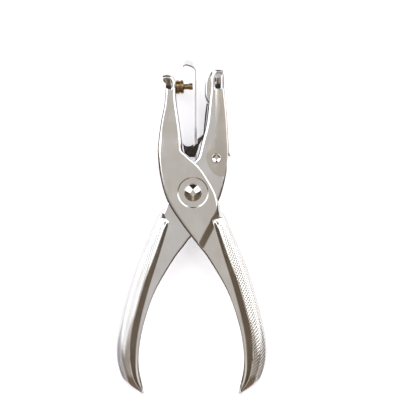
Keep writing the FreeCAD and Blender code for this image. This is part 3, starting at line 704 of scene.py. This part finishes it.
class PUNCH_OT_rivets(bpy.types.Operator):
    """Turn the domed pivot rivet and the hollow rivet of the chip cover"""
    bl_idname = "punch.rivets"
    bl_label = "Rivets"

    def execute(self, context):
        sizes, finish = context.scene.punch_sizes, context.scene.punch_finish
        polished = plated("polished_rivet_nickel", finish.plating, 0.045, 0.03, 0.01)
        low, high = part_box("pivot_rivet")
        head, top, foot = (high.x - low.x) / 2 / MM, high.z / MM - MID, low.z / MM - MID
        seat = sizes.plate - 0.4
        ball = (head ** 2 + (top - seat) ** 2) / (2 * (top - seat))
        reach = math.asin(head / ball)
        turns, shank = [reach * k / 16 for k in range(17)], head * 0.62
        dome = [(ball * math.sin(a), top - ball + ball * math.cos(a)) for a in turns]
        dome += [(head - 0.02, seat - 0.12), (shank, seat - 0.15), (shank, -seat + 0.1)]
        rear = [(shank, -seat + 0.1), (head, -seat), (head, -seat - 0.25), (head * 0.65, foot), (0, foot)]
        rear = rounded_profile(rear, 0.18)
        finish_piece(
            lathe(dome + rear[1:]), "pivot_rivet_dome", "die_side", ["pivot_rivet"],
            polished)

        low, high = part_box("cover_rivet")
        cap, top = (high.x - low.x) / 2 / MM, high.z / MM - MID
        deep, mouth = 0.5, cap - 0.3
        ball = (mouth ** 2 + deep ** 2) / (2 * deep)
        radii = [mouth * k / 14 for k in range(15)]
        bowl = [(r, top - deep + ball - math.sqrt(ball ** 2 - r ** 2)) for r in radii]
        rim = [(mouth, top), (cap - 0.12, top - 0.03), (cap, top - 0.25), (cap, top - 0.4)]
        bowl = rounded_profile(bowl[:-1] + rim, 0.12)
        under = [
            (cap, top - 0.62), (1.25, top - 0.62), (1.25, -top + 0.5), (cap, -top + 0.5), (cap, -top + 0.3),
            (1.2, -top + 0.08), (0, -top + 0.1)]
        place = Matrix.Translation((COVER_PIN.x, COVER_PIN.y, 0))
        finish_piece(
            lathe(bowl + under, 64, place), "cover_rivet_head", "die_side", ["cover_rivet"],
            polished)
        return {"FINISHED"}


class PUNCH_OT_steelwork(bpy.types.Operator):
    """Give the punch, die, stripper, spring and chip cover their finishes"""
    bl_idname = "punch.steelwork"
    bl_label = "Steelwork"

    def execute(self, context):
        finish = context.scene.punch_finish
        steel_dark, spring_dark = [c * 0.35 for c in finish.tool_steel], [c * 0.4 for c in finish.spring]
        straw = tempered("straw_tempered_tool_steel", finish.tool_steel, steel_dark, 0.22, 0.3)
        black = tempered("oil_blackened_spring_steel", finish.spring, spring_dark, 0.3, 0.15)
        duller = [c * k for c, k in zip(finish.plating, (0.86, 0.84, 0.80))]
        cover = plated("nickel_plated_cover", duller, 0.2, 0.25, 0.05)
        strip = plated("nickel_plated_strip", finish.plating, 0.14, 0.15, 0.03)
        for node, body, slot, material, edge in (
            ("die_block", "die_side", "hard_steel", strip, 0.3),
            ("chip_cover", "cover", "plated_steel", cover, 0.16),
            ("return_spring", None, "spring_steel", black, 0.14),
        ):
            piece = finish_piece(copied(node), node + "_dressed", body, [node], material)
            soften(piece, edge, angle=30)
        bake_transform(bpy.data.objects["return_spring_dressed"])
        dress("pivot_sleeve", straw)

        low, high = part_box("punch_collar")
        wide, deep = 3.15, 3.6
        tilt = math.radians(2.5)
        way = Vector((math.cos(tilt), math.sin(tilt), 0))
        face = (low + high) / 2 / MM - Vector((0, 0, MID)) + way * (deep / 2 - 0.1)
        lying = Matrix.Rotation(math.pi / 2, 4, "Y")
        stand = Matrix.Translation(face) @ Matrix.Rotation(tilt, 4, "Z") @ lying
        collar = [
            (1.3, -deep), (wide - 0.25, -deep), (wide, -deep + 0.25), (wide, -2.15), (wide - 0.3, -2.0),
            (wide - 0.3, -1.5), (wide, -1.35), (wide, -0.4), (wide - 0.4, 0), (2.1, 0), (1.75, -0.7),
            (1.3, -0.7)]
        finish_piece(
            lathe(rounded_profile(collar, 0.12), 72, stand), "punch_collar_turned", "punch_side",
            ["punch_collar"], straw)
        out = 4.05
        pin = [
            (0, -5.6), (1.3, -5.6), (1.9, -5.3), (2.1, -4.9), (1.3, -4.9), (1.3, out - 1.8),
            (1.585, out - 1.5), (1.585, out), (1.35, out), (0.0, out - 0.35)]
        finish_piece(
            lathe(rounded_profile(pin, 0.08), 72, stand), "punch_pin_turned", "punch_side", ["punch_pin"],
            straw)

        leaf = finish_piece(
            strip_body(), "stripper_strip", "stripper_arm", ["stripper"], strip)
        wall = leaf.modifiers.new("gauge", "SOLIDIFY")
        wall.thickness = 0.9 * MM
        wall.offset = 0
        soften(leaf, 0.3)
        eye = [(3.6, -2.3), (4.5, -2.3), (4.5, 2.3), (3.6, 2.3), (3.6, -2.3)]
        finish_piece(lathe(eye, 72), "stripper_eye", "stripper_arm", [], strip)
        return {"FINISHED"}


class PUNCH_OT_stage(bpy.types.Operator):
    """Lay the floor, hang two soft lights and stand the camera over the tool"""
    bl_idname = "punch.stage"
    bl_label = "Stage"

    def execute(self, context):
        finish = context.scene.punch_finish
        bm = bmesh.new()
        bmesh.ops.create_grid(bm, x_segments=4, y_segments=4, size=2.5)
        mesh = bpy.data.meshes.new("floor")
        bm.to_mesh(mesh)
        bm.free()
        floor = bpy.data.objects.new("floor", mesh)
        mesh.materials.append(table_top(finish.floor))
        context.collection.objects.link(floor)

        lamps = (
            ("left_softbox", 143, 0.84, 6.9, (1, 1, 1)),
            ("right_softbox", 37, 0.84, 6.9, (1, 1, 1)),
            ("front_card", 270, 0.36, 0.5, (1.0, 0.8, 0.6)),
        )
        for name, side, wide, energy, colour in lamps:
            lamp = bpy.data.lights.new(name, "AREA")
            lamp.shape = "RECTANGLE"
            lamp.size, lamp.size_y = wide, 1.16
            lamp.energy = energy
            lamp.color = colour
            holder = bpy.data.objects.new(name, lamp)
            a, tilt, far = math.radians(side), math.radians(54), 0.9
            spot = Vector((math.cos(a) * math.sin(tilt), math.sin(a) * math.sin(tilt), math.cos(tilt))) * far
            holder.location = spot
            holder.rotation_euler = spot.to_track_quat("Z", "Y").to_euler()
            context.collection.objects.link(holder)

        world = bpy.data.worlds.new("studio")
        world.use_nodes = True
        tree = world.node_tree
        tree.nodes.clear()
        way = add(
            tree, "ShaderNodeSeparateXYZ", (), {0: add(tree, "ShaderNodeTexCoord").outputs["Generated"]})
        along = add(
            tree, "ShaderNodeMapRange", {"From Min": -0.55, "From Max": 0.35}, {"Value": way.outputs["Y"]})
        wall = add(tree, "ShaderNodeValToRGB", (), {"Fac": along.outputs[0]})
        wall.color_ramp.elements[0].color = (0.2, 0.15, 0.105, 1)
        wall.color_ramp.elements[1].color = (0.035, 0.03, 0.028, 1)
        up = add(
            tree, "ShaderNodeMapRange",
            {"From Min": 0.74, "From Max": 0.97, "interpolation_type": "SMOOTHSTEP"},
            {"Value": way.outputs["Z"]})
        both = add(
            tree, "ShaderNodeMix", {"data_type": "RGBA", 7: (0.66, 0.625, 0.59, 1)},
            {0: up.outputs[0], 6: wall.outputs[0]})
        sky = add(tree, "ShaderNodeBackground", {"Strength": 1.0}, {"Color": both.outputs[2]})
        add(tree, "ShaderNodeOutputWorld", (), {"Surface": sky.outputs[0]})
        context.scene.world = world
        context.scene.view_settings.view_transform = "Standard"

        lens = bpy.data.cameras.new("camera")
        lens.lens = 86.5
        lens.shift_x, lens.shift_y = 0.0385, -0.0431
        camera = bpy.data.objects.new("camera", lens)
        camera.location = (-0.00045, 0.0011, 0.4625)
        context.collection.objects.link(camera)
        context.scene.camera = camera
        return {"FINISHED"}


class PUNCH_PT_panel(bpy.types.Panel):
    """Sizes, finishes and building steps"""
    bl_idname = "PUNCH_PT_panel"
    bl_label = "Plier Punch"
    bl_space_type = "VIEW_3D"
    bl_region_type = "UI"
    bl_category = "Plier Punch"

    def draw(self, context):
        column = self.layout.column()
        for group in (context.scene.punch_sizes, context.scene.punch_finish):
            for name in group.__annotations__:
                column.prop(group, name)
        for step in STEPS:
            column.operator(step.bl_idname)


STEPS = (PUNCH_OT_levers, PUNCH_OT_rivets, PUNCH_OT_steelwork, PUNCH_OT_stage)
CLASSES = (PUNCH_PG_sizes, PUNCH_PG_finish) + STEPS + (PUNCH_PT_panel,)


def register():
    for cls in CLASSES:
        bpy.utils.register_class(cls)
    bpy.types.Scene.punch_sizes = PointerProperty(type=PUNCH_PG_sizes)
    bpy.types.Scene.punch_finish = PointerProperty(type=PUNCH_PG_finish)


def unregister():
    del bpy.types.Scene.punch_sizes
    del bpy.types.Scene.punch_finish
    for cls in reversed(CLASSES):
        bpy.utils.unregister_class(cls)


def main():
    register()
    bpy.ops.punch.levers()
    bpy.ops.punch.rivets()
    bpy.ops.punch.steelwork()
    bpy.ops.punch.stage()
    bpy.context.view_layer.update()


if __name__ == "__main__":
    main()
